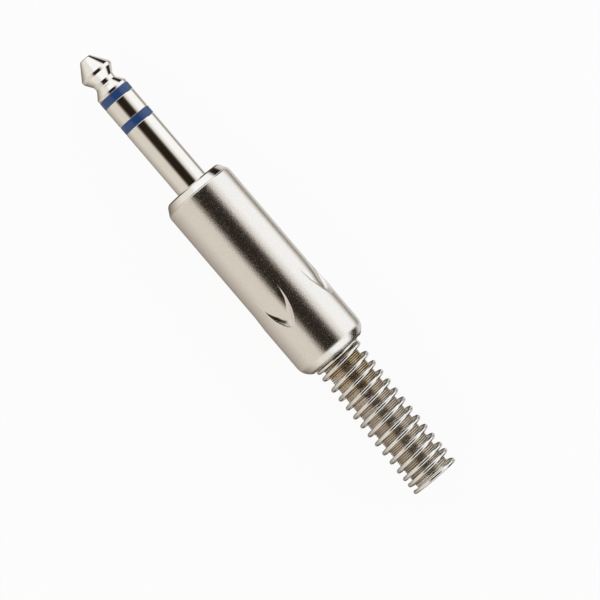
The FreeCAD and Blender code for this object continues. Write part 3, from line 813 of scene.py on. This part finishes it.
def spring_axis(x):
    """The springs' centre at a place: shifted in the exit, and leaning away from the axis behind it."""
    beyond = max(REAR_WALL - x, 0)
    aside = SPRING_SHIFT + beyond * math.tan(math.radians(LEAN_SIDE))
    return np.array((x, aside, -beyond * math.tan(math.radians(LEAN_DOWN))))


def coil_path(steps_per_turn):
    """Points along the outer spring's wire, whose turns are slanted where they leave the barrel."""
    turn = -sum(stage[0] for stage in COIL_STAGES[:FRONT_STAGES]) - 0.5
    x = DEAD_TURN
    radius = COIL_STAGES[0][2]
    path = []
    for turns, way, end_radius in COIL_STAGES:
        steps = round(turns * steps_per_turn)
        for share in np.arange(steps) / steps:
            angle = math.radians(360 * (turn + turns * share) + TOP_OF_COIL)
            reach = radius + (end_radius - radius) * share
            here = x - way * share
            rise = (REAR_WALL - here) / (REAR_WALL - BARREL_REAR)
            fall = 1 - (BARREL_REAR - here) / TILT_LENGTH
            slant = math.tan(math.radians(FRONT_TILT)) * max(min(rise, fall), 0)
            outwards = np.array((-math.sin(angle) * slant, math.sin(angle), math.cos(angle)))
            path.append(spring_axis(here) + outwards * reach)
        turn += turns
        x -= way
        radius = end_radius
    return path


def wire_tree(name):
    """Geometry nodes that draw a round wire of a given size along the edges of a guide."""
    tree = bpy.data.node_groups.new(name, "GeometryNodeTree")
    face = tree.interface
    face.new_socket("Guide", in_out="INPUT", socket_type="NodeSocketGeometry")
    wire_size = face.new_socket("Wire", in_out="INPUT", socket_type="NodeSocketFloat")
    sides = face.new_socket("Sides", in_out="INPUT", socket_type="NodeSocketInt")
    look = face.new_socket("Look", in_out="INPUT", socket_type="NodeSocketMaterial")
    face.new_socket("Wound wire", in_out="OUTPUT", socket_type="NodeSocketGeometry")

    def add(kind, **links):
        node = tree.nodes.new(kind)
        for key, source in links.items():
            tree.links.new(source, node.inputs[key.replace("_", " ")])
        return node

    given = tree.nodes.new("NodeGroupInput").outputs
    path = add("GeometryNodeMeshToCurve", Mesh=given["Guide"])
    half = add("ShaderNodeMath")
    half.operation = "MULTIPLY"
    half.inputs[1].default_value = 0.5
    tree.links.new(given["Wire"], half.inputs[0])
    circle = add("GeometryNodeCurvePrimitiveCircle", Resolution=given["Sides"], Radius=half.outputs[0])
    tube = add("GeometryNodeCurveToMesh", Curve=path.outputs[0], Profile_Curve=circle.outputs[0])
    tube.inputs["Fill Caps"].default_value = True
    real = add("GeometryNodeRealizeInstances", Geometry=tube.outputs[0])
    painted = add("GeometryNodeSetMaterial", Geometry=real.outputs[0], Material=given["Look"])
    tree.links.new(painted.outputs[0], tree.nodes.new("NodeGroupOutput").inputs[0])
    return tree, wire_size.identifier, sides.identifier, look.identifier


WIRE_TREE, WIRE_INPUT, SIDES_INPUT, LOOK_INPUT = wire_tree("wound_wire")


def wound(name, path, wire, sides, material):
    """A mesh of round wire wound along a path given in millimetres."""
    guide_mesh = bpy.data.meshes.new(f"{name}_guide")
    links = [(index, index + 1) for index in range(len(path) - 1)]
    guide_mesh.from_pydata((np.array(path) * MM).tolist(), links, [])
    guide = bpy.data.objects.new(f"{name}_guide", guide_mesh)
    bpy.context.scene.collection.objects.link(guide)
    modifier = guide.modifiers.new("wound_wire", "NODES")
    modifier.node_group = WIRE_TREE
    modifier[WIRE_INPUT] = wire * MM
    modifier[SIDES_INPUT] = sides
    modifier[LOOK_INPUT] = material
    bpy.context.view_layer.update()
    evaluated = guide.evaluated_get(bpy.context.evaluated_depsgraph_get())
    mesh = bpy.data.meshes.new_from_object(evaluated)
    mesh.name = name
    mesh.shade_smooth()
    mesh.set_sharp_from_angle(angle=math.radians(50))
    bpy.data.objects.remove(guide)
    piece = bpy.data.objects.new(name, mesh)
    bpy.context.scene.collection.objects.link(piece)
    return piece


outer_spring = wound("outer_spring_coil", coil_path(80), WIRE, 18, SPRING_WIRE)
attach(outer_spring, "strain_relief")
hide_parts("outer_spring")


# Inner spring. Fine drawn steel wire, close-wound into a tube that keeps the cable from being pinched
# between the outer turns. Heat has left a golden tint near the barrel. A flat collar holds its front.

FINE_WIRE = 0.33
FINE_PITCH = 0.37
FINE_RADIUS = 3.6
COLLAR_FRONT = -36.29
COLLAR_TURNS = 5
INNER_REAR = -67.05
STEEL_GREY = (0.62, 0.55, 0.46)
GOLDEN = (0.50, 0.375, 0.215)


def fine_spring_wire():
    finish = Finish("fine_spring_wire")
    patches = finish.noise(2.2, detail=2)
    tint = finish.along("X").between(-53.5, -43.0) * patches.between(0.3, 0.6, 0.4, 1.0)
    drawn = finish.noise(0.1, stretch=(1, 3, 3), detail=2)
    return finish.surface(
        Base_Color=tint.blend(STEEL_GREY, GOLDEN),
        Metallic=1.0,
        Roughness=0.13 + drawn * 0.08,
        Normal=finish.bump(drawn, 0.002, 0.4),
    )


FINE_SPRING_WIRE = fine_spring_wire()


def inner_path(steps_per_turn):
    """Points along the inner spring's wire: rings of the flat collar inwards, then the close turns."""
    path = []
    half = FINE_WIRE / 2
    collar_x = COLLAR_FRONT - half
    for share in np.linspace(0, 1, COLLAR_TURNS * steps_per_turn, endpoint=False):
        angle = 2 * math.pi * COLLAR_TURNS * share
        reach = FLARE_RADIUS - half + (FINE_RADIUS - FLARE_RADIUS) * share
        path.append(spring_axis(collar_x) + np.array((0, math.sin(angle), math.cos(angle))) * reach)
    turns = (collar_x - half - INNER_REAR) / FINE_PITCH
    for share in np.linspace(0, 1, int(turns * steps_per_turn)):
        angle = 2 * math.pi * turns * share
        x = collar_x + (INNER_REAR + half - collar_x) * share
        outwards = np.array((0, math.sin(angle), math.cos(angle)))
        path.append(spring_axis(x) + outwards * (FINE_RADIUS - half))
    return path


inner_spring = wound("inner_spring_coil", inner_path(40), FINE_WIRE, 8, FINE_SPRING_WIRE)
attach(inner_spring, "strain_relief")
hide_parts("inner_spring")


# Table and light. A plain white table under a soft white room with a dark card overhead beside the
# camera, which polished metal needs to show its form. The table takes a faint shadow.

TABLE_Z = -BARREL_REAR_RADIUS
TABLE_HALF = 600


def white_table():
    finish = Finish("white_table")
    rays = finish.node("ShaderNodeLightPath")
    camera_ray = Socket(finish, rays.socket.node.outputs["Is Camera Ray"])
    paper = finish.node("ShaderNodeBsdfDiffuse", inputs={"Color": (0.9, 0.9, 0.9)})
    glow = finish.node("ShaderNodeEmission", inputs={"Color": (1, 1, 1), "Strength": 1.0})
    mixed = finish.node("ShaderNodeMixShader", inputs={0: camera_ray * 0.92, 1: paper, 2: glow})
    finish.node_output(mixed)
    return finish.owner


table_mesh = bpy.data.meshes.new("table_top")
half, level = TABLE_HALF * MM, TABLE_Z * MM
corners = [(-half, -half, level), (half, -half, level), (half, half, level), (-half, half, level)]
table_mesh.from_pydata(corners, [], [(0, 1, 2, 3)])
table_mesh.materials.append(white_table())
table = bpy.data.objects.new("table_top", table_mesh)
bpy.context.scene.collection.objects.link(table)
table.visible_glossy = False


BRIGHT = (1.26, 1.29, 1.32)
PALE = (0.93, 0.90, 0.86)
SOFT = (1.05, 1.03, 0.98)
WARM = (0.91, 0.855, 0.79)
GREY = (0.80, 0.79, 0.77)
SHADE = (0.55, 0.50, 0.45)
SMOKE = (0.12, 0.095, 0.075)
DIM = (0.24, 0.21, 0.18)
DARK = (0.024, 0.017, 0.012)
PLAIN = (0.96, 0.955, 0.94)
# What a polished surface shows when its face turns by these degrees about the plug's axis
ALONG_THE_PLUG = [
    (-90, GREY), (-74, GREY), (-66, DIM), (-58, PALE), (-54, BRIGHT), (-31, BRIGHT), (-21, PALE),
    (-15, SMOKE), (-11, DARK), (7, DARK), (10.5, SMOKE), (14, SHADE), (18, WARM), (40, WARM),
    (66, SHADE), (90, DIM),
]
TOWARDS_ITS_ENDS = [
    (-90, GREY), (-64, GREY), (-58, SHADE), (-54, DARK), (-41, DARK), (-33, BRIGHT), (1, BRIGHT),
    (7, SOFT), (28, SOFT), (38, WARM), (54, SHADE), (70, DIM), (90, DIM),
]
# Faces lean this far towards the plug's ends, as a sine, where one look gives way to the other, and
# where the room ends in smoke
LEANING = (0.29, 0.41)
END_ON = (0.70, 0.84)


def studio_room():
    """A room whose colours are set by the way a face leans that mirrors them up to the camera."""
    world = bpy.data.worlds.new("studio_room")
    bpy.context.scene.world = world
    finish = Finish("studio_room", world)
    way = finish.node("ShaderNodeTexCoord", output="Generated")
    parts = finish.node("ShaderNodeSeparateXYZ", inputs={0: way}).socket.node.outputs
    along, aside, up = (Socket(finish, parts[axis]) for axis in "XYZ")
    turn = finish.node("ShaderNodeMath", {"operation": "ARCTAN2"}, {0: aside, 1: up + 1}) / math.pi + 0.5
    looks = []
    for stops in (ALONG_THE_PLUG, TOWARDS_ITS_ENDS):
        stops = [((angle + 90) / 180, (*colour, 1)) for angle, colour in stops]
        looks.append(finish.node("ShaderNodeValToRGB", {"stops": stops}, {0: turn}))
    tilt = along.maths("ABSOLUTE") / (up * 2 + 2) ** 0.5
    room = tilt.between(*LEANING).blend(*looks)
    room = tilt.between(*END_ON).blend(room, SMOKE)
    rays = finish.node("ShaderNodeLightPath").socket.node.outputs
    colour = (Socket(finish, rays["Is Diffuse Ray"]) * 0.5).blend(room, PLAIN)
    light = finish.node("ShaderNodeBackground", inputs={"Color": colour, "Strength": 1.0})
    finish.node_output(light, "ShaderNodeOutputWorld")


studio_room()


# Camera. Straight above the plug, turned so that the tip points to the upper left as photographed.

CAMERA_HEIGHT = 900
PIXELS_PER_MM = 5.62
FRAME_PIXELS = 600
PLUG_SLANT = 49.5
VIEW_CENTRE = (-28.02, -1.26)

camera_data = bpy.data.cameras.new("camera")
camera_data.lens = camera_data.sensor_width * CAMERA_HEIGHT * PIXELS_PER_MM / FRAME_PIXELS
camera_data.clip_start = 0.01
camera_data.clip_end = 10
camera = bpy.data.objects.new("camera", camera_data)
slant = math.radians(PLUG_SLANT)
camera.matrix_world = Matrix((
    (-math.cos(slant), math.sin(slant), 0, VIEW_CENTRE[0] * MM),
    (-math.sin(slant), -math.cos(slant), 0, VIEW_CENTRE[1] * MM),
    (0, 0, 1, CAMERA_HEIGHT * MM),
    (0, 0, 0, 1),
))
bpy.context.scene.collection.objects.link(camera)
bpy.context.scene.camera = camera

bpy.context.scene.view_settings.view_transform = "Standard"
